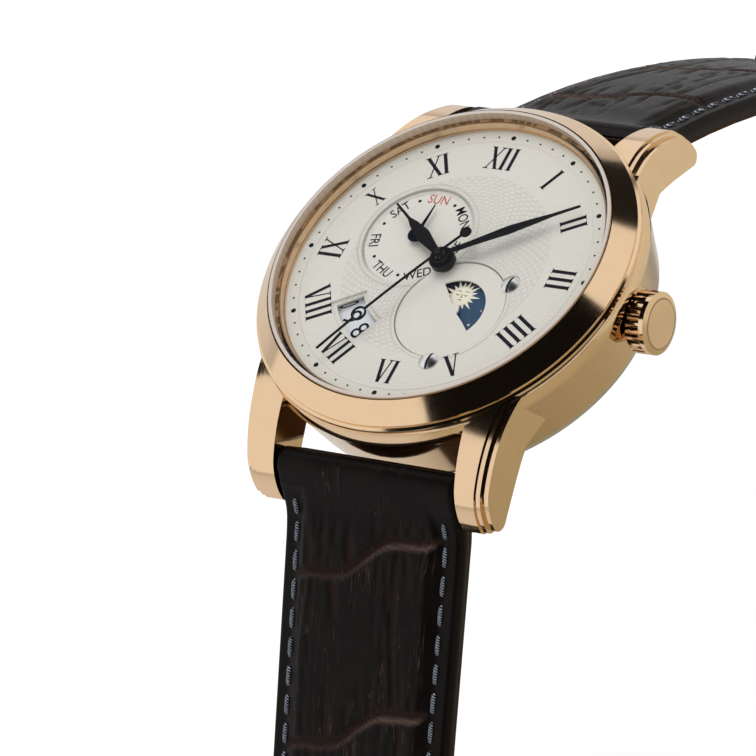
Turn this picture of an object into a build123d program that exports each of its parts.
from build123d import *
from math import atan2, cos, degrees, hypot, radians, sin, sqrt
import os

os.makedirs("parts", exist_ok=True)

# Sizes shared by many pieces, in millimetres
cut_over = 2.0
run_gap = 0.05
seat_gap = 0.3
fit_gap = 0.02

# Case middle and lugs
case_radius = 21.25
case_bore_radius = 17.8
case_base_inset = 1.45
case_flank_inset = 0.15
case_top_inset = 0.3
back_strip_height = 1.5
case_top_drop = 0.8
case_roll_height = 2.1
case_roll_share = 0.55
lug_gap = 22.0
lug_root_width = 3.7
lug_tip_width = 2.15
lug_ridge_width = 0.6
lug_ridge_depth = 0.25
lug_side_width = 0.7
lug_side_depth = 0.7
lug_end_length = 2.6
lug_root_depth = 8.65
lug_top_height = 9.95
lug_bend_share = 0.7
# Along the lug's back and then its underside: share of its reach and of its height
lug_back_shares = [(0.58, 1), (0.768, 0.85), (0.936, 0.55), (0.985, 0.34), (1, 0.112)]
lug_under_shares = [(0.98, 0.045), (0.93, 0.055), (0.77, 0.27), (0.645, 0.44)]
# Share of a lower step's depth by which those points come inwards and down
lug_back_step_shares = [(0, 1), (0, 1), (0.4, 0.8), (0.8, 0.3), (0.8, 0)]
lug_under_step_shares = [(0.8, 0), (0.6, 0), (0, 0), (0, 0)]

# Bezel, crystal and inner ring
bezel_radius = 20.6
bezel_lip = 0.3
bezel_lip_height = 0.35
bezel_rim_radius = 18.55
bezel_rim_width = 0.2
bezel_rise = 1.86
crystal_radius = 18.2
crystal_thick = 0.95
crystal_dome = 1.6
crystal_seat_rise = 1.05
wall_inner_radius = 17.45
wall_step = 0.17
wall_step_height = 0.3

# Case back with its window
glass_thick = 1.3
glass_radius = 14.2
back_gasket_width = 0.3
back_lip_width = 0.7
back_lip_height = 0.45
back_edge_chamfer = 0.6
back_ring_radius = 19.3
back_spigot_width = 0.9
back_spigot_height = 1.0
back_notch_count = 6
back_notch_width = 1.8
back_notch_length = 1.5
back_notch_depth = 0.5
back_notch_radius = 17.2

# Layers of the movement, from the case back up
rotor_air = 0.45
rotor_plate_thick = 0.5
rotor_rim_thick = 1.0
bridge_air = 0.2
bridge_thick = 1.2
wheel_thick = 0.2
wheel_air = 0.1
train_layers = 5
plate_thick = 2.32
motion_wheel_thick = 0.25
motion_air = 0.05
dial_air = 0.2
dial_thick = 0.5

# Movement plates
movement_radius = 12.8
holder_wall_gap = 0.1
holder_bore_gap = 0.1
bridge_edge_gap = 0.2
date_rim_width = 0.9
foot_radius = 0.9
foot_inset_share = 1.35
cock_foot_share = 1.3
cock_arm_share = 1.6
cock_head_share = 2.2
escape_arm_share = 3.4
bridge_screw_radius = 0.75
bridge_screw_head = 0.45
bridge_screw_slot = 0.22
jewel_radius = 0.6
jewel_thick = 0.35
pivot_radius = 0.12
pivot_length = 0.3
arbor_radius = 0.22

# Wheels of the going train
third_distance = 4.0
escape_distance = 3.9
centre_teeth = 60
third_teeth = 64
fourth_teeth = 60
train_leaves = 8
escape_leaves = 6
escape_teeth = 15
escape_radius = 1.6
escape_start_angle = 12
# Share of the way to the next tooth and of the radius, round one hooked tooth
escape_tooth_shares = [(0, 1), (0.2, 0.78), (0.85, 0.78)]
escape_rim_share = 0.6
escape_spoke_share = 0.7
spoke_width = 0.3
wheel_rim_width = 0.45
# Shares of the module by which teeth stand out of and go below the pitch circle
tooth_head_share = 0.55
tooth_foot_share = 1.25

# Barrel and its gearing
barrel_module = 0.15
barrel_teeth = 60
great_teeth = 16
centre_leaves = 12
barrel_wall_gap = 0.2
ratchet_teeth = 40
crown_wheel_teeth = 24
crown_wheel_x = 9.3
crown_wheel_y = 1.75
winding_wheel_recess = 0.35
winding_leaves = 12

# Balance and fork
balance_distance = 8.6
balance_radius = 3.8
balance_rim_width = 0.55
balance_arm_share = 0.8
balance_screw_count = 12
balance_rim_thick = 0.22
balance_screw_radius = 0.2
roller_radius = 0.5
impulse_pin_radius = 0.08
fork_distance = 6.1
fork_width = 0.3
pallet_stone_width = 0.22
fork_arm_share = 1.3
fork_stone_share = 0.6
fork_slot_share = 1.8
fork_hub_share = 0.9
hairspring_turns = 6
hairspring_radius = 1.9
hairspring_strip = 0.1
hairspring_height = 0.15

# Directions on the movement, in degrees from 3 o'clock seen from the dial
barrel_angle = 45
third_angle = 315
balance_angle = 195
cock_angle = 160
barrel_foot_angles = (-12, 80, 140)
barrel_bridge_start_angle = -17
barrel_bridge_end_angle = 148
train_foot_angles = (242, 325)
train_bridge_start_angle = 234
train_bridge_end_angle = 336

# Motion works under the dial
motion_distance = 2.4
motion_post_share = 1.5
cannon_teeth = 12
minute_wheel_teeth = 36
minute_leaves = 10
hour_wheel_teeth = 40
motion_angle = 45
seconds_arbor_radius = 0.22
cannon_bore_radius = 0.3
cannon_radius = 0.6
hour_bore_radius = 0.66
hour_radius = 0.9
dial_hole_gap = 0.12
moon_drive_teeth = 24
moon_wheel_teeth = 48
date_teeth = 31
date_ring_inner = 8.7
date_tooth = 0.5
day_star_teeth = 7
day_star_radius = 2.2
day_star_valley_share = 0.62
small_arbor_radius = 0.3

# Dial and its openings
dial_radius = 17.6
day_x = -4.9
day_y = 3.0
day_radius = 6.15
day_bevel = 0.6
moon_x = 3.35
moon_y = -5.36
moon_radius = 5.95
recess_depth = 0.3
sub_plate_thick = 0.18
moon_groove = 0.12
moon_window_radius = 3.8
moon_window_half_turn = 81.4
moon_window_neck = 0.29
moon_window_bow = 0.07
moon_hub_radius = 0.88
moon_window_clock_angle = 45
moon_disc_radius = 4.5
moon_disc_thick = 0.18
dial_screw_radius = 0.95
dial_screw_seat = 0.2
dial_screw_dome = 0.3
dial_screw_slot = 0.22
dial_screw_distance = 6.55
dial_screw_high_clock_angle = 53
dial_screw_low_clock_angle = 173
date_window_inner = 9.0
date_window_outer = 12.0
date_window_start = 209
date_window_end = 236
date_bevel = 0.45
date_bevel_depth = 0.25

# Hands
hand_thick = 0.16
hand_air = 0.2
hour_hand_height = 0.85
minute_hand_height = 1.35
minute_droop = 0.5
seconds_hand_height = 1.8
seconds_droop = 0.75
hour_length = 10.4
hour_clock_angle = 304.8
hour_leaf_width = 1.55
hour_leaf_share = 0.42
# Where the leaf is as wide as its flank share, and where it ends in the neck
leaf_flank_share = 0.3
leaf_rise_share = 0.45
leaf_fall_share = 0.2
leaf_neck_share = 0.3
hand_neck_share = 0.75
hour_hub_share = 0.8
minute_hub_share = 0.6
minute_length = 15.1
minute_clock_angle = 55.4
minute_leaf_width = 1.05
minute_leaf_share = 0.5
hand_root_width = 0.6
hand_tip_width = 0.22
hub_radius = 1.7
hub_height = 0.5
seconds_length = 15.6
seconds_clock_angle = 212.6
seconds_width = 0.22
seconds_tail = 3.45
seconds_disc_radius = 0.62
seconds_ring_reach = 10.1
seconds_ring_radius = 0.85
seconds_ring_width = 0.2
cap_radius = 0.42
seconds_hub_share = 1.3
cap_height = 0.2
day_hand_length = 3.95
day_hand_width = 0.5
day_tip_share = 0.1
day_hand_clock_angle = 4
day_hub_radius = 1.0

# Crown, stem and tube
stem_height = 5.0
crown_radius = 3.2
crown_face_radius = 2.5
crown_sink = 0.5
crown_relief_gap = 0.25
crown_knurl_length = 1.5
crown_taper_length = 0.6
crown_collar_length = 0.5
crown_chamfer_length = 0.25
crown_flutes = 26
crown_flute_sides = 6
crown_flute_radius = 0.3
crown_flute_share = 0.25
crown_well_radius = 1.9
crown_well_depth = 1.6
tube_radius = 1.2
tube_bore_radius = 0.62
tube_inner_end = 17.2
tube_stand = 1.35
stem_radius = 0.45
stem_start = 7.6
gasket_width = 0.3
clutch_start = 8.3
clutch_length = 1.6
clutch_radius = 0.72
winding_pinion_length = 0.9
winding_pinion_radius = 0.78

# Rotor
rotor_radius = 12.3
rotor_rim_width = 2.3
rotor_hub_radius = 2.4
rotor_post_radius = 1.1
rotor_spoke_width = 2.2
rotor_window_share = 0.54
rotor_slot_share = 1.2
rotor_screw_radius = 1.7
rotor_screw_head = 0.25

# Spring bars
bar_height = 4.0
bar_radius = 0.9
bar_bore_radius = 0.62
bar_end_gap = 0.25
pin_shaft_radius = 0.55
pin_tip_radius = 0.4
pin_tip_length = 1.0
pin_shaft_length = 2.6

# Strap
strap_side_gap = 0.15
strap_tuck = 0.45
strap_end_width = 20.0
strap_taper_length = 75.0
strap_edge_thick = 2.4
strap_pad = 1.3
strap_pad_start = 0.2
strap_pad_end = 0.35
strap_pad_rise = 5.55
strap_pad_fade = 60.0
strap_shoulder = 3.4
strap_side_share = 0.6
strap_shoulder_share = 0.6
strap_flat_share = 0.7
strap_loop_radius = 1.85
strap_hole_count = 7
strap_hole_radius = 1.0
strap_hole_pitch = 6.5
strap_hole_first = 24.0
strap_point_length = 9.0
strap_point_width = 5.0
# Share of the point's length before the end, and of its narrowing there
strap_point_shares = [(1, 0), (0.62, 0.12), (0.3, 0.42), (0, 1)]
upper_length = 75.0
lower_length = 115.0
# Share of the half's length, and the slope at its end in degrees below level
upper_route_shares = [(0.04, 45), (0.06, 34), (0.1333, 38), (0.4134, 50), (0.1133, 72), (0.24, 72)]
upper_first_slope = 60
lower_route_shares = [
    (0.0304, 60), (0.0217, 41), (0.2174, 42), (0.2603, 90), (0.1652, 150), (0.0826, 180), (0.2224, 180)
]
lower_first_slope = 66
route_step_angle = 6

# Buckle and keepers
buckle_side_gap = 0.3
buckle_arm_width = 1.8
buckle_corner_share = 0.8
buckle_length = 11.0
buckle_bar_width = 2.2
buckle_thick = 1.8
buckle_pin_radius = 0.75
buckle_loop_radius = 1.5
tongue_width = 1.8
tongue_thick = 0.9
tongue_tip_share = 0.7
tongue_slope_share = 0.85
tongue_overhang = 0.5
tongue_slot_gap = 0.3
tongue_slot_length = 4.5
keeper_length = 5.0
keeper_wall = 1.1
keeper_room = 2.6
keeper_gap = 0.3
fixed_keeper_from_end = 5.2
sliding_keeper_from_end = 12.8


def clock_point(reach, clock):
    return (reach * sin(radians(clock)), reach * cos(radians(clock)))


def angle_point(reach, angle):
    return (reach * cos(radians(angle)), reach * sin(radians(angle)))


def gear_points(teeth, module, phase, centre=(0, 0)):
    points = []
    for tooth in range(teeth):
        for turn, reach in ((0, teeth / 2 + tooth_head_share), (0.5, teeth / 2 - tooth_foot_share)):
            x, y = angle_point(reach * module, phase + (tooth + turn) * 360 / teeth)
            points.append((centre[0] + x, centre[1] + y))
    return points


def mesh_phase(teeth, phase, direction, mate_teeth):
    share = ((direction - phase) * teeth / 360) % 1
    return direction + 180 + (share + 0.5) * 360 / mate_teeth


def add_gear(teeth, module, phase, height, thick, centre=(0, 0), spokes=0):
    root = (teeth / 2 - tooth_foot_share) * module
    with BuildSketch(Plane.XY.offset(height)) as outline:
        Polygon(*gear_points(teeth, module, phase, centre), align=None)
        if spokes:
            with Locations(centre):
                Circle(root - wheel_rim_width, mode=Mode.SUBTRACT)
                with PolarLocations(0, spokes, start_angle=phase):
                    Rectangle(root, spoke_width, align=(Align.MIN, Align.CENTER))
                Circle(arbor_radius * 2)
    extrude(outline.sketch, amount=thick)


def add_disc(centre, radius, low, high, mode=Mode.ADD):
    with BuildSketch(Plane.XY.offset(low)) as outline:
        with Locations(centre):
            Circle(radius)
    extrude(outline.sketch, amount=high - low, mode=mode)


def add_sector(inner, outer, start, end, low, high, mode=Mode.ADD):
    arc = end - start
    with BuildSketch(Plane.XY.offset(low)) as outline:
        with BuildLine():
            CenterArc((0, 0), outer, start, arc)
            CenterArc((0, 0), inner, start, arc)
            Line(angle_point(inner, start), angle_point(outer, start))
            Line(angle_point(inner, end), angle_point(outer, end))
        make_face()
    extrude(outline.sketch, amount=high - low, mode=mode)


def finish(builder, name):
    builder.part.label = name
    export_step(builder.part, f"parts/{name}.step")


# Heights worked out from the stack
rotor_low = glass_thick + rotor_air
rotor_top = rotor_low + rotor_rim_thick
bridge_low = rotor_top + bridge_air
bridge_top = bridge_low + bridge_thick
plate_low = bridge_top + train_layers * (wheel_thick + wheel_air) + wheel_air
plate_top = plate_low + plate_thick
layer_low = [bridge_top + wheel_air + layer * (wheel_thick + wheel_air) for layer in range(train_layers)]
motion_low = [plate_top + motion_air + layer * (motion_wheel_thick + motion_air) for layer in range(4)]
moon_disc_low = motion_low[3] + motion_wheel_thick + motion_air
dial_low = moon_disc_low + moon_disc_thick + dial_air
dial_top = dial_low + dial_thick
sub_plate_low = dial_top - recess_depth
sub_plate_top = sub_plate_low + sub_plate_thick
case_top = dial_top - case_top_drop
crystal_low = dial_top + crystal_seat_rise
bezel_top = dial_top + bezel_rise
hour_hand_low = dial_top + hour_hand_height
minute_hand_low = dial_top + minute_hand_height
seconds_hand_low = dial_top + seconds_hand_height

crown_base = case_radius - crown_sink

# Case middle with its four lugs, which reach past the bars; the strap fits between them
case_base_radius = case_radius - case_base_inset
case_flank_radius = case_radius - case_flank_inset
case_top_radius = case_radius - case_top_inset
lug_inner = lug_gap / 2
strap_width = lug_gap - 2 * strap_side_gap
buckle_width = strap_end_width + 2 * (buckle_arm_width + buckle_side_gap)
bar_reach = case_flank_radius + strap_loop_radius - strap_tuck
lug_reach = bar_reach + lug_end_length
lug_root_reach = case_radius - lug_root_depth
roll_low = case_top - case_roll_height
lug_outer = lug_inner + lug_root_width + lug_ridge_width + lug_side_width


def dome_rise(reach, radius, rise):
    ball = (radius ** 2 + rise ** 2) / (2 * rise)
    return sqrt(ball ** 2 - reach ** 2) - ball + rise


def lug_points(point_shares, step_shares, inset):
    points = []
    for (out, up), (inwards, down) in zip(point_shares, step_shares):
        points.append((lug_reach * out - inset * inwards, lug_top_height * up - inset * down))
    return points


def lug_step(step_width, inset):
    root = (lug_root_reach, lug_top_height - inset)
    shoulder, mid, bend, nose, tip = lug_points(lug_back_shares, lug_back_step_shares, inset)
    heel, toe, arch, foot = lug_points(lug_under_shares, lug_under_step_shares, inset)
    base = (lug_root_reach, foot[1])
    bend_width = (lug_root_width + lug_tip_width) / 2
    with BuildPart() as step:
        with BuildSketch(Plane.XY):
            Polygon(
                (lug_inner, lug_root_reach),
                (lug_inner + lug_root_width + step_width, lug_root_reach),
                (lug_inner + bend_width + step_width, lug_reach * lug_bend_share),
                (lug_inner + lug_tip_width + step_width, lug_reach),
                (lug_inner, lug_reach),
                align=None,
            )
        extrude(amount=lug_top_height)
        with BuildSketch(Plane.YZ.offset(lug_inner)):
            with BuildLine():
                Polyline(base, root, shoulder)
                ThreePointArc(shoulder, mid, bend)
                ThreePointArc(bend, nose, tip)
                ThreePointArc(tip, heel, toe)
                Polyline(toe, arch, foot, base)
            make_face()
        extrude(amount=lug_outer, mode=Mode.INTERSECT)
    return step.part


# One lug is three steps side by side, each set lower than the one inside it
lug_steps = [
    lug_step(0, 0),
    lug_step(lug_ridge_width, lug_ridge_depth),
    lug_step(lug_ridge_width + lug_side_width, lug_side_depth),
]
with BuildPart() as lug:
    for step in lug_steps:
        add(step)

with BuildPart() as case_middle:
    with BuildSketch(Plane.XZ):
        with BuildLine():
            Polyline(
                (case_bore_radius, case_top),
                (case_bore_radius, back_strip_height),
                (case_base_radius, back_strip_height),
                (case_flank_radius, roll_low),
            )
            ThreePointArc(
                (case_flank_radius, roll_low),
                (case_radius, case_top - case_roll_height * case_roll_share),
                (case_top_radius, case_top),
            )
            Line((case_top_radius, case_top), (case_bore_radius, case_top))
        make_face()
    revolve(axis=Axis.Z)
    add(lug.part)
    mirror(lug.part, about=Plane.XZ)
    mirror(lug.part, about=Plane.YZ)
    mirror(mirror(lug.part, about=Plane.XZ, mode=Mode.PRIVATE), about=Plane.YZ)
    add_disc((0, 0), bezel_radius + bezel_lip + fit_gap, case_top, case_top + cut_over, Mode.SUBTRACT)
    add_disc((0, 0), case_bore_radius, back_strip_height - cut_over, case_top + cut_over, Mode.SUBTRACT)
    for side in (-1, 1):
        with BuildSketch(Plane.YZ.offset(side * lug_inner)):
            with Locations((bar_reach, bar_height), (-bar_reach, bar_height)):
                Circle(pin_tip_radius + run_gap)
        extrude(amount=side * (pin_tip_length + seat_gap), mode=Mode.SUBTRACT)
    with BuildSketch(Plane.YZ.offset(case_bore_radius - cut_over)):
        with Locations((0, stem_height)):
            Circle(tube_radius)
    extrude(amount=case_radius, mode=Mode.SUBTRACT)
    with BuildSketch(Plane.YZ.offset(crown_base - crown_relief_gap)):
        with Locations((0, stem_height)):
            Circle(crown_radius + crown_relief_gap)
    extrude(amount=case_radius, mode=Mode.SUBTRACT)
finish(case_middle, "case_middle")

# Bezel
with BuildPart() as bezel:
    with BuildSketch(Plane.XZ):
        with BuildLine():
            Polyline(
                (case_bore_radius, case_top),
                (bezel_radius + bezel_lip, case_top),
                (bezel_radius + bezel_lip, case_top + bezel_lip_height),
                (bezel_radius, case_top + bezel_lip_height + bezel_lip / 2),
                (bezel_radius, dial_top),
                (bezel_rim_radius + bezel_rim_width, bezel_top),
                (bezel_rim_radius, bezel_top),
                (bezel_rim_radius, crystal_low),
                (case_bore_radius, crystal_low),
                (case_bore_radius, case_top),
            )
        make_face()
    revolve(axis=Axis.Z)
finish(bezel, "bezel")

# Ring between the dial and the crystal
wall_outer_radius = case_bore_radius - fit_gap
with BuildPart() as rehaut_ring:
    with BuildSketch(Plane.XZ):
        with BuildLine():
            Polyline(
                (wall_inner_radius, dial_top),
                (wall_outer_radius, dial_top),
                (wall_outer_radius, crystal_low - fit_gap),
                (wall_inner_radius + wall_step, crystal_low - fit_gap),
                (wall_inner_radius + wall_step / 2, dial_top + wall_step_height),
                (wall_inner_radius, dial_top + wall_step_height),
                (wall_inner_radius, dial_top),
            )
        make_face()
    revolve(axis=Axis.Z)
finish(rehaut_ring, "rehaut_ring")

# Domed crystal
with BuildPart() as crystal:
    with BuildSketch(Plane.XZ):
        with BuildLine():
            outer_low = crystal_low + crystal_thick
            half_rise = dome_rise(crystal_radius / 2, crystal_radius, crystal_dome)
            outer_half = (crystal_radius / 2, outer_low + half_rise)
            inner_half = (
                wall_inner_radius / 2,
                crystal_low + dome_rise(wall_inner_radius / 2, wall_inner_radius, crystal_dome),
            )
            Polyline((wall_inner_radius, crystal_low), (crystal_radius, crystal_low),
                     (crystal_radius, outer_low))
            ThreePointArc((crystal_radius, outer_low), outer_half, (0, outer_low + crystal_dome))
            Line((0, outer_low + crystal_dome), (0, crystal_low + crystal_dome))
            ThreePointArc((0, crystal_low + crystal_dome), inner_half, (wall_inner_radius, crystal_low))
        make_face()
    revolve(axis=Axis.Z)
finish(crystal, "crystal")

with BuildPart() as crystal_gasket:
    add_disc((0, 0), bezel_rim_radius, crystal_low, crystal_low + crystal_thick)
    add_disc((0, 0), crystal_radius, crystal_low, crystal_low + crystal_thick, Mode.SUBTRACT)
finish(crystal_gasket, "crystal_gasket")

# Case back ring, gasket and window
spigot_radius = case_bore_radius - run_gap
seat_radius = glass_radius + back_gasket_width
lip_radius = glass_radius - back_lip_width
lip_top = glass_thick + back_lip_height
spigot_top = back_strip_height + back_spigot_height
with BuildPart() as caseback_ring:
    with BuildSketch(Plane.XZ):
        with BuildLine():
            Polyline(
                (seat_radius, 0),
                (back_ring_radius - back_edge_chamfer, 0),
                (back_ring_radius, back_edge_chamfer),
                (back_ring_radius, back_strip_height),
                (spigot_radius, back_strip_height),
                (spigot_radius, spigot_top),
                (spigot_radius - back_spigot_width, spigot_top),
                (spigot_radius - back_spigot_width, lip_top),
                (lip_radius, lip_top),
                (lip_radius, glass_thick),
                (seat_radius, glass_thick),
                (seat_radius, 0),
            )
        make_face()
    revolve(axis=Axis.Z)
    with BuildSketch(Plane.XY):
        with PolarLocations(back_notch_radius, back_notch_count, start_angle=360 / back_notch_count / 2):
            Rectangle(back_notch_length, back_notch_width)
    extrude(amount=back_notch_depth, mode=Mode.SUBTRACT)
finish(caseback_ring, "caseback_ring")

with BuildPart() as caseback_gasket:
    add_disc((0, 0), seat_radius, 0, glass_thick)
    add_disc((0, 0), glass_radius, 0, glass_thick, Mode.SUBTRACT)
finish(caseback_gasket, "caseback_gasket")

with BuildPart() as caseback_glass:
    add_disc((0, 0), glass_radius, 0, glass_thick)
finish(caseback_glass, "caseback_glass")

# Movement holder ring, from the case back to the dial
holder_radius = case_bore_radius - holder_wall_gap
holder_bore = movement_radius + holder_bore_gap
with BuildPart() as movement_holder:
    add_disc((0, 0), holder_radius, spigot_top, dial_low)
    add_disc((0, 0), holder_bore, spigot_top, dial_low, Mode.SUBTRACT)
    with BuildSketch(Plane.YZ.offset(holder_bore - cut_over)):
        with Locations((0, stem_height)):
            Circle(stem_radius + run_gap)
    extrude(amount=holder_radius, mode=Mode.SUBTRACT)
    with BuildSketch(Plane.YZ.offset(tube_inner_end)):
        with Locations((0, stem_height)):
            Circle(tube_radius + run_gap)
    extrude(amount=holder_radius, mode=Mode.SUBTRACT)
finish(movement_holder, "movement_holder")

# Places of the movement's axes
third_at = angle_point(third_distance, third_angle)
escape_at = angle_point(escape_distance, balance_angle)
fork_at = angle_point(fork_distance, balance_angle)
balance_at = angle_point(balance_distance, balance_angle)
barrel_pitch = barrel_teeth * barrel_module / 2
great_pitch = great_teeth * barrel_module / 2
centre_pitch = centre_leaves * barrel_module / 2
great_at = angle_point(centre_pitch + great_pitch, barrel_angle)
barrel_distance = centre_pitch + 2 * great_pitch + barrel_pitch
barrel_at = angle_point(barrel_distance, barrel_angle)
motion_at = angle_point(motion_distance, motion_angle)
jewel_places = [third_at, escape_at, balance_at]
bridge_radius = movement_radius - bridge_edge_gap
foot_reach = bridge_radius - foot_radius * foot_inset_share
barrel_feet = [angle_point(foot_reach, angle) for angle in barrel_foot_angles]
train_feet = [angle_point(foot_reach, angle) for angle in train_foot_angles]
cock_foot = angle_point(foot_reach, cock_angle)
screw_places = barrel_feet + train_feet + [cock_foot]

# Main plate
with BuildPart() as main_plate:
    add_disc((0, 0), movement_radius, plate_low, plate_top)
    add_disc((0, 0), movement_radius, plate_top, motion_low[3] - motion_air)
    rim_inner = movement_radius - date_rim_width
    add_disc((0, 0), rim_inner, plate_top, motion_low[3], Mode.SUBTRACT)
    add_disc((0, 0), cannon_radius + run_gap, plate_low, plate_top, Mode.SUBTRACT)
    for place in jewel_places:
        add_disc(place, pivot_radius + run_gap, plate_low, plate_low + pivot_length + run_gap, Mode.SUBTRACT)
    with BuildSketch(Plane.YZ.offset(stem_start - seat_gap)):
        with Locations((0, stem_height)):
            Circle(winding_pinion_radius + seat_gap)
    extrude(amount=movement_radius, mode=Mode.SUBTRACT)
finish(main_plate, "main_plate")

# Bridges seen through the case back
crown_wheel_at = (crown_wheel_x, crown_wheel_y)
winding_span = hypot(barrel_at[0] - crown_wheel_at[0], barrel_at[1] - crown_wheel_at[1])
winding_module = 2 * winding_span / (ratchet_teeth + crown_wheel_teeth)
ratchet_radius = (ratchet_teeth / 2 + tooth_head_share) * winding_module
crown_wheel_radius = (crown_wheel_teeth / 2 + tooth_head_share) * winding_module
screw_seat_radius = bridge_screw_radius + run_gap


def screw_holes(places):
    for place in places:
        add_disc(place, screw_seat_radius, bridge_low, bridge_low + bridge_screw_head, Mode.SUBTRACT)


def jewel_holes(places):
    for place in places:
        add_disc(place, jewel_radius, bridge_low, bridge_low + jewel_thick, Mode.SUBTRACT)
        add_disc(place, pivot_radius + run_gap, bridge_low, bridge_top, Mode.SUBTRACT)


with BuildPart() as barrel_bridge:
    add_sector(rotor_hub_radius + seat_gap, bridge_radius,
               barrel_bridge_start_angle, barrel_bridge_end_angle,
               bridge_low, bridge_top)
    for place in barrel_feet:
        add_disc(place, foot_radius, bridge_top, plate_low)
    recess_top = bridge_low + winding_wheel_recess
    add_disc(barrel_at, ratchet_radius + run_gap, bridge_low, recess_top, Mode.SUBTRACT)
    add_disc(crown_wheel_at, crown_wheel_radius + run_gap, bridge_low, recess_top, Mode.SUBTRACT)
    add_disc(barrel_at, arbor_radius * 3 + run_gap, bridge_low, bridge_top, Mode.SUBTRACT)
    add_disc(crown_wheel_at, arbor_radius * 2 + run_gap, bridge_low, bridge_top, Mode.SUBTRACT)
    screw_holes(barrel_feet)
finish(barrel_bridge, "barrel_bridge")

with BuildPart() as train_bridge:
    add_sector(rotor_hub_radius / 2, bridge_radius, train_bridge_start_angle, train_bridge_end_angle,
               bridge_low, bridge_top)
    add_disc((0, 0), rotor_hub_radius, bridge_low, bridge_top)
    with BuildSketch(Plane.XY.offset(bridge_low)):
        with Locations((escape_at[0] / 2, escape_at[1] / 2)):
            SlotCenterToCenter(escape_distance, jewel_radius * escape_arm_share, rotation=balance_angle)
    extrude(amount=bridge_thick)
    for place in train_feet:
        add_disc(place, foot_radius, bridge_top, plate_low)
    jewel_holes([third_at, escape_at])
    add_disc((0, 0), pivot_radius + run_gap, bridge_top - pivot_length - run_gap, bridge_top, Mode.SUBTRACT)
    screw_holes(train_feet)
finish(train_bridge, "train_bridge")

with BuildPart() as balance_cock:
    add_disc(balance_at, jewel_radius * cock_head_share, bridge_low, bridge_top - hairspring_height)
    add_disc(cock_foot, foot_radius * cock_foot_share, bridge_low, plate_low)
    with BuildSketch(Plane.XY.offset(bridge_low)):
        arm_length = hypot(balance_at[0] - cock_foot[0], balance_at[1] - cock_foot[1])
        arm_turn = degrees(atan2(balance_at[1] - cock_foot[1], balance_at[0] - cock_foot[0]))
        with Locations(((balance_at[0] + cock_foot[0]) / 2, (balance_at[1] + cock_foot[1]) / 2)):
            Rectangle(arm_length, foot_radius * cock_arm_share, rotation=arm_turn)
    extrude(amount=bridge_thick - hairspring_height)
    jewel_holes([balance_at])
    screw_holes([cock_foot])
finish(balance_cock, "balance_cock")

with BuildPart() as bridge_screws:
    for place in screw_places:
        add_disc(place, bridge_screw_radius, bridge_low, bridge_low + bridge_screw_head)
        with BuildSketch(Plane.XY.offset(bridge_low)):
            with Locations(place):
                Rectangle(bridge_screw_radius * 2 + run_gap, bridge_screw_slot)
        extrude(amount=bridge_screw_head / 2, mode=Mode.SUBTRACT)
finish(bridge_screws, "bridge_screws")

with BuildPart() as jewels:
    for place in jewel_places:
        add_disc(place, jewel_radius, bridge_low, bridge_low + jewel_thick)
        add_disc(place, pivot_radius + run_gap, bridge_low, bridge_low + jewel_thick, Mode.SUBTRACT)
finish(jewels, "jewels")


def add_arbor(place, low, high):
    add_disc(place, arbor_radius, low, high)


def add_train_arbor(place):
    add_arbor(place, bridge_top + run_gap, plate_low - run_gap)
    add_disc(place, pivot_radius, bridge_low + jewel_thick / 2, plate_low + pivot_length)


# Barrel with its cover and teeth, and the winding wheels in the bridge
with BuildPart() as barrel:
    drum_radius = barrel_pitch - barrel_module * tooth_foot_share - barrel_wall_gap
    add_disc(barrel_at, drum_radius, layer_low[0], layer_low[4])
    great_phase = barrel_angle
    barrel_phase = mesh_phase(great_teeth, great_phase, barrel_angle, barrel_teeth)
    add_gear(barrel_teeth, barrel_module, barrel_phase, layer_low[4], wheel_thick, barrel_at)
    arbor_hole = arbor_radius * 2
    add_disc(barrel_at, arbor_hole + run_gap, layer_low[0], plate_low, Mode.SUBTRACT)
finish(barrel, "barrel")

ratchet_top = bridge_low + winding_wheel_recess - run_gap
ratchet_direction = degrees(atan2(crown_wheel_at[1] - barrel_at[1], crown_wheel_at[0] - barrel_at[0]))
with BuildPart() as ratchet_wheel:
    add_gear(ratchet_teeth, winding_module, ratchet_direction, bridge_low, ratchet_top - bridge_low,
             barrel_at)
    add_disc(barrel_at, arbor_radius * 3, bridge_low, bridge_top + run_gap)
    add_disc(barrel_at, arbor_hole, bridge_low, plate_low - run_gap)
finish(ratchet_wheel, "ratchet_wheel")

with BuildPart() as crown_wheel:
    crown_phase = mesh_phase(ratchet_teeth, ratchet_direction, ratchet_direction, crown_wheel_teeth)
    add_gear(crown_wheel_teeth, winding_module, crown_phase, bridge_low, ratchet_top - bridge_low,
             crown_wheel_at)
    add_disc(crown_wheel_at, arbor_radius * 2, bridge_low, bridge_top)
finish(crown_wheel, "crown_wheel")

with BuildPart() as great_wheel:
    add_gear(great_teeth, barrel_module, great_phase, layer_low[4], wheel_thick, great_at)
finish(great_wheel, "great_wheel")

# Centre wheel and cannon pinion, which carry the minute hand
centre_module = 2 * third_distance / (centre_teeth + train_leaves)
third_module = 2 * third_distance / (third_teeth + train_leaves)
fourth_module = 2 * escape_distance / (fourth_teeth + escape_leaves)
with BuildPart() as centre_wheel:
    add_gear(centre_teeth, centre_module, third_angle, layer_low[3], wheel_thick, (0, 0), 4)
    centre_leaf_phase = mesh_phase(great_teeth, great_phase, barrel_angle + 180, centre_leaves)
    add_gear(centre_leaves, barrel_module, centre_leaf_phase, layer_low[4], wheel_thick)
    add_disc((0, 0), cannon_radius, layer_low[3], plate_top)
    add_disc((0, 0), cannon_bore_radius, layer_low[3], plate_top, Mode.SUBTRACT)
finish(centre_wheel, "centre_wheel")

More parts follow.
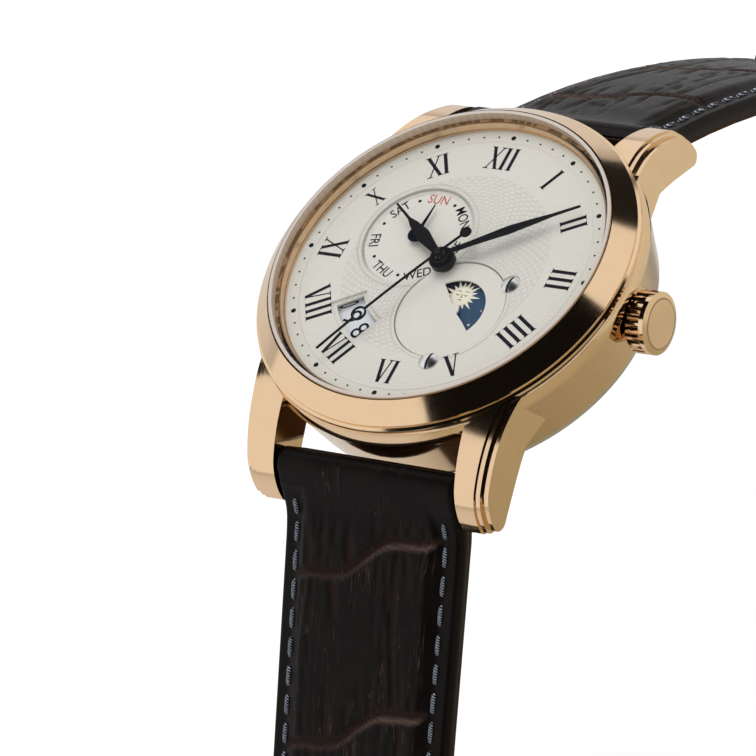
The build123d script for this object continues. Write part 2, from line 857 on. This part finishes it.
motion_module = 2 * motion_distance / (cannon_teeth + minute_wheel_teeth)
hour_module = 2 * motion_distance / (minute_leaves + hour_wheel_teeth)
with BuildPart() as cannon_pinion:
    add_gear(cannon_teeth, motion_module, motion_angle, motion_low[0], motion_wheel_thick)
    add_disc((0, 0), cannon_radius - run_gap, plate_top, motion_low[1])
    add_disc((0, 0), cannon_radius - run_gap, motion_low[1], minute_hand_low + hand_thick)
    add_disc((0, 0), cannon_bore_radius, plate_top, minute_hand_low + hand_thick, Mode.SUBTRACT)
finish(cannon_pinion, "cannon_pinion")

with BuildPart() as minute_wheel:
    minute_phase = mesh_phase(cannon_teeth, motion_angle, motion_angle, minute_wheel_teeth)
    add_gear(minute_wheel_teeth, motion_module, minute_phase, motion_low[0], motion_wheel_thick, motion_at)
    add_disc(motion_at, arbor_radius * motion_post_share, motion_low[0], motion_low[1])
    add_gear(minute_leaves, hour_module, motion_angle, motion_low[1], motion_wheel_thick, motion_at)
finish(minute_wheel, "minute_wheel")

# Hour wheel, its pipe and the ring that drives the sun and moon disc
moon_at = (moon_x, moon_y)
moon_distance = hypot(moon_x, moon_y)
moon_direction = degrees(atan2(moon_y, moon_x))
moon_module = 2 * moon_distance / (moon_drive_teeth + moon_wheel_teeth)
with BuildPart() as hour_wheel:
    hour_phase = mesh_phase(minute_leaves, motion_angle, motion_angle + 180, hour_wheel_teeth)
    add_gear(hour_wheel_teeth, hour_module, hour_phase, motion_low[1], motion_wheel_thick)
    add_disc((0, 0), hour_radius, motion_low[1], hour_hand_low)
    add_gear(moon_drive_teeth, moon_module, moon_direction, motion_low[2], motion_wheel_thick)
    add_disc((0, 0), hour_bore_radius, motion_low[1], hour_hand_low + cut_over, Mode.SUBTRACT)
finish(hour_wheel, "hour_wheel")

with BuildPart() as moon_disc:
    moon_phase = mesh_phase(moon_drive_teeth, moon_direction, moon_direction, moon_wheel_teeth)
    add_gear(moon_wheel_teeth, moon_module, moon_phase, motion_low[2], motion_wheel_thick, moon_at)
    add_disc(moon_at, small_arbor_radius, plate_top + run_gap, moon_disc_low)
    add_disc(moon_at, moon_disc_radius, moon_disc_low, moon_disc_low + moon_disc_thick)
    add_disc(moon_at, small_arbor_radius * 2, moon_disc_low, sub_plate_low - dial_air)
finish(moon_disc, "moon_disc")

# Date ring with its inner teeth
with BuildPart() as date_disc:
    with BuildSketch(Plane.XY.offset(motion_low[3])):
        Circle(movement_radius)
        teeth = []
        for tooth in range(date_teeth):
            teeth.append(angle_point(date_ring_inner - date_tooth, tooth * 360 / date_teeth))
            teeth.append(angle_point(date_ring_inner, (tooth + 0.5) * 360 / date_teeth))
        Polygon(*teeth, align=None, mode=Mode.SUBTRACT)
    extrude(amount=motion_wheel_thick)
finish(date_disc, "date_disc")

# Day star with the arbor of the day hand
day_at = (day_x, day_y)
day_hand_low = dial_top + hand_air
with BuildPart() as day_star:
    with BuildSketch(Plane.XY.offset(motion_low[2])):
        points = []
        for tooth in range(day_star_teeth):
            for turn, share in ((0, 1), (0.5, day_star_valley_share)):
                x, y = angle_point(day_star_radius * share, (tooth + turn) * 360 / day_star_teeth)
                points.append((day_x + x, day_y + y))
        Polygon(*points, align=None)
    extrude(amount=motion_wheel_thick)
    add_disc(day_at, small_arbor_radius, plate_top + run_gap, day_hand_low)
finish(day_star, "day_star")

# Third, fourth and escape wheels
with BuildPart() as third_wheel:
    leaf_phase = mesh_phase(centre_teeth, third_angle, third_angle, train_leaves)
    add_gear(train_leaves, centre_module, leaf_phase, layer_low[2], layer_low[4] - layer_low[2], third_at)
    add_gear(third_teeth, third_module, third_angle + 180, layer_low[1], wheel_thick, third_at, 4)
    add_train_arbor(third_at)
finish(third_wheel, "third_wheel")

with BuildPart() as fourth_wheel:
    leaf_phase = mesh_phase(third_teeth, third_angle + 180, third_angle + 180, train_leaves)
    add_gear(train_leaves, third_module, leaf_phase, layer_low[1], wheel_thick)
    add_gear(fourth_teeth, fourth_module, balance_angle, layer_low[0], wheel_thick, (0, 0), 4)
    add_disc((0, 0), pivot_radius, bridge_top - pivot_length, layer_low[0])
    add_disc((0, 0), seconds_arbor_radius, bridge_top + run_gap, seconds_hand_low)
finish(fourth_wheel, "fourth_wheel")

with BuildPart() as escape_wheel:
    leaf_phase = mesh_phase(fourth_teeth, balance_angle, balance_angle, escape_leaves)
    add_gear(escape_leaves, fourth_module, leaf_phase, layer_low[0], layer_low[2] - layer_low[0], escape_at)
    with BuildSketch(Plane.XY.offset(layer_low[2])):
        points = []
        for tooth in range(escape_teeth):
            for turn, share in escape_tooth_shares:
                angle = balance_angle + escape_start_angle + (tooth + turn) * 360 / escape_teeth
                x, y = angle_point(escape_radius * share, angle)
                points.append((escape_at[0] + x, escape_at[1] + y))
        Polygon(*points, align=None)
        with Locations(escape_at):
            Circle(escape_radius * escape_rim_share, mode=Mode.SUBTRACT)
            with PolarLocations(0, 4):
                Rectangle(escape_radius * escape_spoke_share, spoke_width, align=(Align.MIN, Align.CENTER))
            Circle(arbor_radius * 2)
    extrude(amount=wheel_thick)
    add_train_arbor(escape_at)
finish(escape_wheel, "escape_wheel")

# Pallet fork, pointing from the escape wheel to the balance staff
fork_plane = Plane(origin=(fork_at[0], fork_at[1], layer_low[2]), x_dir=(*angle_point(1, balance_angle), 0),
                   z_dir=(0, 0, 1))
fork_tail = balance_distance - fork_distance - roller_radius - run_gap
pallet_reach = fork_distance - escape_distance - escape_radius
with BuildPart() as pallet_fork:
    with BuildSketch(fork_plane):
        Rectangle(fork_tail, fork_width, align=(Align.MIN, Align.CENTER))
        with Locations((fork_tail - fork_width, 0)):
            Rectangle(fork_width, fork_width * 2, align=(Align.MIN, Align.CENTER))
        with Locations((fork_tail, 0)):
            Circle(impulse_pin_radius * fork_slot_share, mode=Mode.SUBTRACT)
        Rectangle(fork_width, escape_radius * fork_arm_share)
        with Locations((0, escape_radius * fork_stone_share), (0, -escape_radius * fork_stone_share)):
            Rectangle(pallet_reach + pallet_stone_width, pallet_stone_width, align=(Align.MAX, Align.CENTER))
        Circle(fork_width * fork_hub_share)
    extrude(amount=wheel_thick)
    add_arbor(fork_at, layer_low[2] - wheel_air / 2, plate_low - run_gap)
finish(pallet_fork, "pallet_fork")

# Balance wheel with its staff, roller and rim screws
balance_low = layer_low[1]
with BuildPart() as balance_wheel:
    with BuildSketch(Plane.XY.offset(balance_low)):
        with Locations(balance_at):
            Circle(balance_radius - balance_screw_radius * 2)
            Circle(balance_radius - balance_screw_radius * 2 - balance_rim_width, mode=Mode.SUBTRACT)
            with PolarLocations(0, 3, start_angle=90):
                Rectangle(balance_radius - balance_rim_width, balance_rim_width * balance_arm_share,
                          align=(Align.MIN, Align.CENTER))
            with PolarLocations(balance_radius - balance_screw_radius * 2, balance_screw_count):
                Rectangle(balance_screw_radius * 4, balance_screw_radius * 2)
            Circle(balance_rim_width)
    extrude(amount=balance_rim_thick)
    add_disc(balance_at, roller_radius, layer_low[2] - wheel_air / 4, layer_low[2] + wheel_thick / 2)
    add_disc(balance_at, arbor_radius, balance_low - hairspring_height, plate_low - run_gap)
    add_disc(balance_at, pivot_radius, bridge_low + jewel_thick / 2, plate_low + pivot_length)
finish(balance_wheel, "balance_wheel")

# Hairspring, a flat spiral of half turns between the staff and the cock
spring_start = arbor_radius + hairspring_strip / 2
spring_pitch = (hairspring_radius - spring_start) / (hairspring_turns * 2)
spring_low = bridge_top - hairspring_height + run_gap
with BuildPart() as hairspring:
    with BuildSketch(Plane.XY.offset(spring_low)):
        with BuildLine():
            for half in range(hairspring_turns * 2):
                centre = (balance_at[0] + half % 2 * spring_pitch, balance_at[1])
                CenterArc(centre, spring_start + half * spring_pitch, 180 * (half % 2), 180)
        trace(line_width=hairspring_strip)
    extrude(amount=hairspring_height)
finish(hairspring, "hairspring")

# Dial with its recesses and openings
dial_hole = hour_radius + dial_hole_gap
dial_screw_places = []
for clock in (dial_screw_high_clock_angle, dial_screw_low_clock_angle):
    x, y = clock_point(dial_screw_distance, clock)
    dial_screw_places.append((moon_x + x, moon_y + y))
window_start = 90 - date_window_end
window_end = 90 - date_window_start
bevel_turn = degrees(date_bevel / date_window_outer)
with BuildPart() as dial:
    add_disc((0, 0), dial_radius, dial_low, dial_top)
    with Locations((day_x, day_y, dial_top - recess_depth / 2)):
        Cone(day_radius - day_bevel, day_radius, recess_depth, mode=Mode.SUBTRACT)
    add_disc(moon_at, moon_radius + moon_groove, sub_plate_low, dial_top, Mode.SUBTRACT)
    add_disc(moon_at, moon_window_radius + seat_gap, dial_low, dial_top, Mode.SUBTRACT)
    for place in dial_screw_places:
        add_disc(place, dial_screw_radius + dial_screw_seat, sub_plate_low, dial_top, Mode.SUBTRACT)
    add_disc((0, 0), dial_hole, dial_low, dial_top, Mode.SUBTRACT)
    add_disc(day_at, small_arbor_radius + run_gap, dial_low, dial_top, Mode.SUBTRACT)
    add_sector(date_window_inner, date_window_outer, window_start, window_end, dial_low, dial_top,
               Mode.SUBTRACT)
    add_sector(date_window_inner - date_bevel, date_window_outer + date_bevel, window_start - bevel_turn,
               window_end + bevel_turn, dial_top - date_bevel_depth, dial_top, Mode.SUBTRACT)
finish(dial, "dial")

# Plate of the sun and moon, with its window and its two screws
window_turn = (*angle_point(1, 90 - moon_window_clock_angle), 0)
window_plane = Plane(origin=(moon_x, moon_y, sub_plate_low), x_dir=window_turn, z_dir=(0, 0, 1))
with BuildSketch(window_plane) as moon_window:
    with BuildLine():
        CenterArc((0, 0), moon_window_radius, -moon_window_half_turn, 2 * moon_window_half_turn)
        for side in (1, -1):
            corner = angle_point(moon_window_radius, side * moon_window_half_turn)
            neck = (moon_window_neck, side * moon_hub_radius / 2)
            bow = ((corner[0] + neck[0]) / 2 + moon_window_bow, (corner[1] + neck[1]) / 2)
            ThreePointArc(corner, bow, neck)
        Line((moon_window_neck, moon_hub_radius / 2), (moon_window_neck, -moon_hub_radius / 2))
    make_face()
    Circle(moon_hub_radius, mode=Mode.SUBTRACT)
with BuildPart() as moon_subdial:
    add_disc(moon_at, moon_radius, sub_plate_low, sub_plate_top)
    for place in dial_screw_places:
        add_disc(place, dial_screw_radius + dial_screw_seat - fit_gap, sub_plate_low, sub_plate_top)
    add_disc((0, 0), dial_hole, sub_plate_low, sub_plate_top, Mode.SUBTRACT)
    extrude(moon_window.sketch, amount=sub_plate_thick, mode=Mode.SUBTRACT)
finish(moon_subdial, "moon_subdial")

with BuildPart() as dial_screw:
    with BuildSketch(Plane.XZ):
        with BuildLine():
            Polyline((0, dial_top + dial_screw_dome), (0, sub_plate_top), (dial_screw_radius, sub_plate_top),
                     (dial_screw_radius, dial_top))
            ThreePointArc(
                (dial_screw_radius, dial_top),
                (dial_screw_radius / 2,
                 dial_top + dome_rise(dial_screw_radius / 2, dial_screw_radius, dial_screw_dome)),
                (0, dial_top + dial_screw_dome),
            )
        make_face()
    revolve(axis=Axis.Z)
    with BuildSketch(Plane.XY.offset(dial_top)):
        Rectangle(dial_screw_slot, dial_screw_radius * 2 + run_gap)
    extrude(amount=dial_screw_dome + cut_over, mode=Mode.SUBTRACT)

with BuildPart() as dial_screws:
    with Locations([Location((x, y, 0)) for x, y in dial_screw_places]):
        add(dial_screw.part)
finish(dial_screws, "dial_screws")


def hand_plane(centre, clock, height):
    x, y = clock_point(1, clock)
    return Plane(origin=(centre[0], centre[1], height), x_dir=(x, y, 0), z_dir=(0, 0, 1))


def leaf_points(length, leaf_width, leaf_share):
    flank = leaf_width * leaf_flank_share
    half = [(0, hand_root_width / 2), (length * leaf_share * leaf_rise_share, flank),
            (length * leaf_share, leaf_width / 2), (length * (leaf_share + leaf_fall_share), flank),
            (length * (leaf_share + leaf_neck_share), hand_tip_width * hand_neck_share),
            (length, hand_tip_width / 2)]
    return half + [(x, -y) for x, y in reversed(half)]


# Hour, minute and seconds hands
with BuildPart() as hour_hand:
    with BuildSketch(hand_plane((0, 0), hour_clock_angle, hour_hand_low)):
        Polygon(*leaf_points(hour_length, hour_leaf_width, hour_leaf_share), align=None)
    extrude(amount=hand_thick)
    add_disc((0, 0), hub_radius * hour_hub_share, hour_hand_low - hub_height, hour_hand_low + hand_thick)
    add_disc((0, 0), hour_radius, hour_hand_low - hub_height, hour_hand_low, Mode.SUBTRACT)
    add_disc((0, 0), hour_bore_radius, hour_hand_low, hour_hand_low + hand_thick, Mode.SUBTRACT)
finish(hour_hand, "hour_hand")


def droop_profile(reach, droop, height):
    low = [(-reach, height - droop), (0, height), (reach, height - droop)]
    high = [(x, z + hand_thick) for x, z in low]
    with BuildLine() as outline:
        ThreePointArc(*low)
        Line(low[2], high[2])
        ThreePointArc(*high)
        Line(high[0], low[0])
    make_face(outline.line)


def hand_side(clock):
    x, y = clock_point(1, clock)
    return Plane(origin=(0, 0, 0), x_dir=(x, y, 0), z_dir=(y, -x, 0))


with BuildPart() as minute_hand:
    with BuildSketch(hand_plane((0, 0), minute_clock_angle, minute_hand_low - minute_droop)):
        Polygon(*leaf_points(minute_length, minute_leaf_width, minute_leaf_share), align=None)
        Circle(hub_radius * minute_hub_share)
        Circle(cannon_radius - run_gap, mode=Mode.SUBTRACT)
    extrude(amount=minute_droop + hand_thick)
    with BuildSketch(hand_side(minute_clock_angle).offset(-hub_radius)):
        droop_profile(minute_length, minute_droop, minute_hand_low)
    extrude(amount=2 * hub_radius, mode=Mode.INTERSECT)
finish(minute_hand, "minute_hand")

with BuildPart() as seconds_hand:
    with BuildSketch(hand_plane((0, 0), seconds_clock_angle, seconds_hand_low - seconds_droop)):
        with Locations((-seconds_tail, 0)):
            Rectangle(seconds_length + seconds_tail, seconds_width, align=(Align.MIN, Align.CENTER))
            Circle(seconds_disc_radius)
        with Locations((seconds_ring_reach, 0)):
            Circle(seconds_ring_radius)
            Circle(seconds_ring_radius - seconds_ring_width, mode=Mode.SUBTRACT)
        Circle(cap_radius * seconds_hub_share)
        Circle(seconds_arbor_radius, mode=Mode.SUBTRACT)
    extrude(amount=seconds_droop + hand_thick)
    with BuildSketch(hand_side(seconds_clock_angle).offset(-hub_radius)):
        droop_profile(seconds_length, seconds_droop, seconds_hand_low)
    extrude(amount=2 * hub_radius, mode=Mode.INTERSECT)
    add_disc((0, 0), cap_radius, seconds_hand_low + hand_thick, seconds_hand_low + hand_thick + cap_height)
finish(seconds_hand, "seconds_hand")

with BuildPart() as day_hand:
    with BuildSketch(hand_plane(day_at, day_hand_clock_angle, day_hand_low)):
        Polygon((0, day_hand_width / 2), (day_hand_length, day_hand_width * day_tip_share),
                (day_hand_length, -day_hand_width * day_tip_share), (0, -day_hand_width / 2), align=None)
        Circle(day_hub_radius)
    extrude(amount=hand_thick / 2)
finish(day_hand, "day_hand")

# Crown with its flutes, gasket, tube and stem
crown_knurl_start = crown_base + crown_taper_length
tube_outer_end = crown_base + tube_stand
crown_collar_start = crown_knurl_start + crown_knurl_length
crown_chamfer_start = crown_collar_start + crown_collar_length
crown_end = crown_chamfer_start + crown_chamfer_length
tube_gap_radius = tube_radius + run_gap
stem_axis = Axis((0, 0, stem_height), (1, 0, 0))
with BuildPart() as crown:
    with BuildSketch(Plane.XZ):
        with BuildLine():
            Polyline(
                (crown_base, stem_height + tube_gap_radius),
                (crown_base, stem_height + crown_face_radius),
                (crown_knurl_start, stem_height + crown_radius),
                (crown_chamfer_start, stem_height + crown_radius),
                (crown_end, stem_height + crown_face_radius),
                (crown_end, stem_height),
                (crown_base + crown_well_depth, stem_height),
                (crown_base + crown_well_depth, stem_height + crown_well_radius),
                (crown_base + crown_taper_length / 2, stem_height + crown_well_radius),
                (crown_base + crown_taper_length / 2, stem_height + tube_gap_radius),
                (crown_base, stem_height + tube_gap_radius),
            )
        make_face()
    revolve(axis=stem_axis)
    with BuildSketch(Plane.YZ.offset(crown_base - cut_over)):
        with Locations((0, stem_height)):
            with PolarLocations(crown_radius + crown_flute_radius * crown_flute_share, crown_flutes):
                RegularPolygon(crown_flute_radius, crown_flute_sides)
    extrude(amount=cut_over + crown_taper_length + crown_knurl_length, mode=Mode.SUBTRACT)
finish(crown, "crown")

with BuildPart() as crown_gasket:
    with BuildSketch(Plane.YZ.offset(crown_base + crown_taper_length / 2)):
        with Locations((0, stem_height)):
            Circle(crown_well_radius)
            Circle(tube_gap_radius, mode=Mode.SUBTRACT)
    extrude(amount=gasket_width)
finish(crown_gasket, "crown_gasket")

with BuildPart() as crown_tube:
    with BuildSketch(Plane.YZ.offset(tube_inner_end)):
        with Locations((0, stem_height)):
            Circle(tube_radius)
            Circle(tube_bore_radius, mode=Mode.SUBTRACT)
    extrude(amount=tube_outer_end - tube_inner_end)
finish(crown_tube, "crown_tube")

with BuildPart() as winding_stem:
    with BuildSketch(Plane.YZ.offset(stem_start)):
        with Locations((0, stem_height)):
            Circle(stem_radius)
    extrude(amount=crown_base + crown_well_depth - stem_start)
finish(winding_stem, "winding_stem")

with BuildPart() as sliding_pinion:
    with BuildSketch(Plane.YZ.offset(clutch_start)):
        with Locations((0, stem_height)):
            Circle(clutch_radius)
            Circle(stem_radius + run_gap, mode=Mode.SUBTRACT)
    extrude(amount=clutch_length)
    with BuildSketch(Plane.YZ.offset(clutch_start + clutch_length)):
        points = [(x, y + stem_height) for x, y in gear_points(
            winding_leaves, 2 * winding_pinion_radius / (winding_leaves + 2 * tooth_head_share), 0)]
        Polygon(*points, align=None)
        with Locations((0, stem_height)):
            Circle(stem_radius + run_gap, mode=Mode.SUBTRACT)
    extrude(amount=winding_pinion_length)
finish(sliding_pinion, "sliding_pinion")

# Rotor, its bearing post and its screw
with BuildPart() as rotor:
    with BuildSketch(Plane.XY.offset(rotor_low)):
        with BuildLine():
            CenterArc((0, 0), rotor_radius, 180, 180)
            Line((-rotor_radius, 0), (rotor_radius, 0))
        make_face()
        Circle(rotor_hub_radius)
        for angle in (235, 305):
            with Locations(angle_point(rotor_radius * rotor_window_share, angle)):
                SlotCenterToCenter(rotor_spoke_width * rotor_slot_share, rotor_spoke_width,
                                   rotation=angle - 90,
                                   mode=Mode.SUBTRACT)
        Circle(rotor_post_radius + run_gap, mode=Mode.SUBTRACT)
    extrude(amount=rotor_plate_thick)
    add_sector(rotor_radius - rotor_rim_width, rotor_radius, 180, 360, rotor_low, rotor_top)
finish(rotor, "rotor")

with BuildPart() as rotor_bearing:
    add_disc((0, 0), rotor_post_radius, rotor_low - run_gap, bridge_low)
finish(rotor_bearing, "rotor_bearing")

with BuildPart() as rotor_screw:
    screw_low = rotor_low - run_gap - rotor_screw_head
    add_disc((0, 0), rotor_screw_radius, screw_low, rotor_low - run_gap)
    with BuildSketch(Plane.XY.offset(screw_low)):
        Rectangle(rotor_screw_radius * 2 + run_gap, bridge_screw_slot)
    extrude(amount=rotor_screw_head / 2, mode=Mode.SUBTRACT)
finish(rotor_screw, "rotor_screw")

# Spring bars and their sprung pins
bar_half = lug_inner - bar_end_gap
for name, side in (("spring_bar_upper", 1), ("spring_bar_lower", -1)):
    with BuildPart() as spring_bar:
        with BuildSketch(Plane.YZ.offset(-bar_half)):
            with Locations((side * bar_reach, bar_height)):
                Circle(bar_radius)
                Circle(bar_bore_radius, mode=Mode.SUBTRACT)
        extrude(amount=2 * bar_half)
    finish(spring_bar, name)
    for end_name, end in (("right", 1), ("left", -1)):
        with BuildPart() as bar_pin:
            with BuildSketch(Plane.YZ.offset(end * (lug_inner + pin_tip_length))):
                with Locations((side * bar_reach, bar_height)):
                    Circle(pin_tip_radius)
            extrude(amount=-end * (pin_tip_length + bar_end_gap))
            with BuildSketch(Plane.YZ.offset(end * bar_half)):
                with Locations((side * bar_reach, bar_height)):
                    Circle(pin_shaft_radius)
            extrude(amount=-end * pin_shaft_length)
        finish(bar_pin, f"{name}_{end_name}_pin")


# Route of a strap half, from its spring bar to its end: distance, y, z and slope
def strap_route(length, shares, slope):
    y, z, distance = bar_reach, bar_height, 0
    stations = [(distance, y, z, slope)]
    for share, end_slope in shares:
        steps = max(1, round(abs(end_slope - slope) / route_step_angle))
        for step in range(steps):
            part = length * share / steps
            turn = (end_slope - slope) / steps
            mid_slope = slope + turn * (step + 0.5)
            y += part * cos(radians(mid_slope))
            z -= part * sin(radians(mid_slope))
            distance += part
            stations.append((distance, y, z, slope + turn * (step + 1)))
        slope = end_slope
    return stations


def station_plane(station, side):
    distance, y, z, slope = station
    tangent = (0, side * cos(radians(slope)), -sin(radians(slope)))
    return Plane(origin=(0, side * y, z), x_dir=(-side, 0, 0), z_dir=tangent)


def route_at(stations, distance):
    for low, high in zip(stations, stations[1:]):
        if low[0] <= distance <= high[0]:
            share = (distance - low[0]) / (high[0] - low[0])
            return tuple(start + (end - start) * share for start, end in zip(low, high))
    return stations[-1]


def width_at(distance):
    return strap_width - (strap_width - strap_end_width) * min(1, distance / strap_taper_length)


def pad_at(distance):
    rise = min(1, distance / strap_pad_rise)
    fade = min(1, distance / strap_pad_fade)
    full = strap_pad + (strap_pad_end - strap_pad) * fade
    return strap_pad_start + rise * (full - strap_pad_start)


def strap_section(width, pad):
    half = width / 2
    edge = strap_edge_thick / 2
    flat = half - min(strap_shoulder, half / 2)
    right = [(half, -edge), (half, edge * strap_side_share),
             ((half + flat) / 2, edge + pad * strap_shoulder_share), (flat * strap_flat_share, edge + pad)]
    Polygon(*right, *[(-x, y) for x, y in reversed(right)], align=None)


def cross_disc(plane, x_half, radius, mode=Mode.ADD, x_centre=0):
    side_plane = Plane(origin=plane.origin, x_dir=plane.z_dir, z_dir=plane.x_dir)
    with BuildSketch(side_plane.offset(x_centre - x_half)) as outline:
        Circle(radius)
    extrude(outline.sketch, amount=2 * x_half, mode=mode)


upper_stations = strap_route(upper_length, upper_route_shares, upper_first_slope)
lower_stations = strap_route(lower_length, lower_route_shares, lower_first_slope)
bar_gap = bar_radius + run_gap
pin_gap = buckle_pin_radius + run_gap
with BuildPart() as strap_upper:
    for station in upper_stations:
        with BuildSketch(station_plane(station, 1)):
            strap_section(width_at(station[0]), pad_at(station[0]))
    loft(ruled=True)
    cross_disc(station_plane(upper_stations[0], 1), strap_width / 2, strap_loop_radius)
    cross_disc(station_plane(upper_stations[-1], 1), strap_end_width / 2, buckle_loop_radius)
    cross_disc(station_plane(upper_stations[0], 1), strap_width, bar_gap, Mode.SUBTRACT)
    cross_disc(station_plane(upper_stations[-1], 1), strap_width, pin_gap, Mode.SUBTRACT)
    with BuildSketch(station_plane(upper_stations[-1], 1).offset(-tongue_slot_length)):
        Rectangle(tongue_width + 2 * tongue_slot_gap, buckle_loop_radius * 4)
    extrude(amount=tongue_slot_length + buckle_loop_radius + cut_over, mode=Mode.SUBTRACT)
finish(strap_upper, "strap_upper")

with BuildPart() as strap_lower:
    last = lower_stations[-1]
    for station in lower_stations[:-1]:
        with BuildSketch(station_plane(station, -1)):
            strap_section(width_at(station[0]), pad_at(station[0]))
    end_plane = station_plane(last, -1)
    for back_share, width_share in strap_point_shares:
        width = strap_end_width + (strap_point_width - strap_end_width) * width_share
        with BuildSketch(end_plane.offset(-strap_point_length * back_share)):
            strap_section(width, strap_pad_end)
    loft(ruled=True)
    cross_disc(station_plane(lower_stations[0], -1), strap_width / 2, strap_loop_radius)
    cross_disc(station_plane(lower_stations[0], -1), strap_width, bar_gap, Mode.SUBTRACT)
    for hole in range(strap_hole_count):
        distance = lower_length - strap_hole_first - hole * strap_hole_pitch
        place = station_plane(route_at(lower_stations, distance), -1)
        with BuildSketch(Plane(origin=place.origin, x_dir=place.x_dir, z_dir=place.y_dir)):
            Circle(strap_hole_radius)
        extrude(amount=strap_loop_radius * 2, both=True, mode=Mode.SUBTRACT)
finish(strap_lower, "strap_lower")

# Buckle: bar, open frame and tongue, in the plane of the upper half's end
buckle_end = station_plane(upper_stations[-1], 1)
buckle_face = Plane(origin=buckle_end.origin, x_dir=buckle_end.z_dir, z_dir=buckle_end.y_dir)
buckle_half = buckle_width / 2
with BuildPart() as buckle_bar:
    cross_disc(buckle_end, buckle_half - buckle_arm_width / 2, buckle_pin_radius)
finish(buckle_bar, "buckle_bar")

with BuildPart() as buckle_frame:
    with BuildSketch(buckle_face.offset(-buckle_thick / 2)):
        with Locations((-buckle_arm_width, 0)):
            RectangleRounded(buckle_length + buckle_arm_width, buckle_width,
                             buckle_arm_width * buckle_corner_share,
                             align=(Align.MIN, Align.CENTER))
        with Locations((-buckle_arm_width * 2, 0)):
            Rectangle(buckle_length - buckle_bar_width + buckle_arm_width * 2,
                      buckle_width - 2 * buckle_arm_width, align=(Align.MIN, Align.CENTER),
                      mode=Mode.SUBTRACT)
    extrude(amount=buckle_thick)
    cross_disc(buckle_end, buckle_half - buckle_arm_width / 2, buckle_pin_radius + fit_gap, Mode.SUBTRACT)
finish(buckle_frame, "buckle_frame")

with BuildPart() as buckle_tongue:
    with BuildSketch(Plane(origin=buckle_end.origin, x_dir=buckle_end.z_dir, z_dir=-buckle_end.x_dir)
                     .offset(-tongue_width / 2)):
        tip = buckle_length + tongue_overhang
        rest = buckle_thick / 2 + run_gap
        Circle(buckle_loop_radius)
        Polygon((0, buckle_loop_radius - tongue_thick),
                (buckle_length - buckle_bar_width - tongue_thick, rest),
                (tip, rest), (tip, rest + tongue_thick * tongue_tip_share),
                (tip * tongue_slope_share, rest + tongue_thick),
                (0, buckle_loop_radius), align=None)
        Circle(pin_gap, mode=Mode.SUBTRACT)
    extrude(amount=tongue_width)
finish(buckle_tongue, "buckle_tongue")


# Keepers, which go round the strap and the free end when it is buckled
def keeper(from_end, gap, length):
    distance = upper_length - from_end
    width = width_at(distance - length / 2)
    plane = buckle_end.offset(-from_end - length / 2)
    inner_low = -strap_edge_thick / 2 - gap
    inner_high = strap_edge_thick / 2 + strap_pad_end + keeper_room
    with BuildPart() as ring:
        with BuildSketch(plane):
            with Locations((0, (inner_low + inner_high) / 2)):
                RectangleRounded(width + 2 * gap + 2 * keeper_wall, inner_high - inner_low + 2 * keeper_wall,
                                 keeper_wall)
                Rectangle(width + 2 * gap, inner_high - inner_low, mode=Mode.SUBTRACT)
        extrude(amount=length)
    return ring


finish(keeper(fixed_keeper_from_end, run_gap, keeper_length), "fixed_keeper")
finish(keeper(sliding_keeper_from_end, keeper_gap, keeper_length), "sliding_keeper")
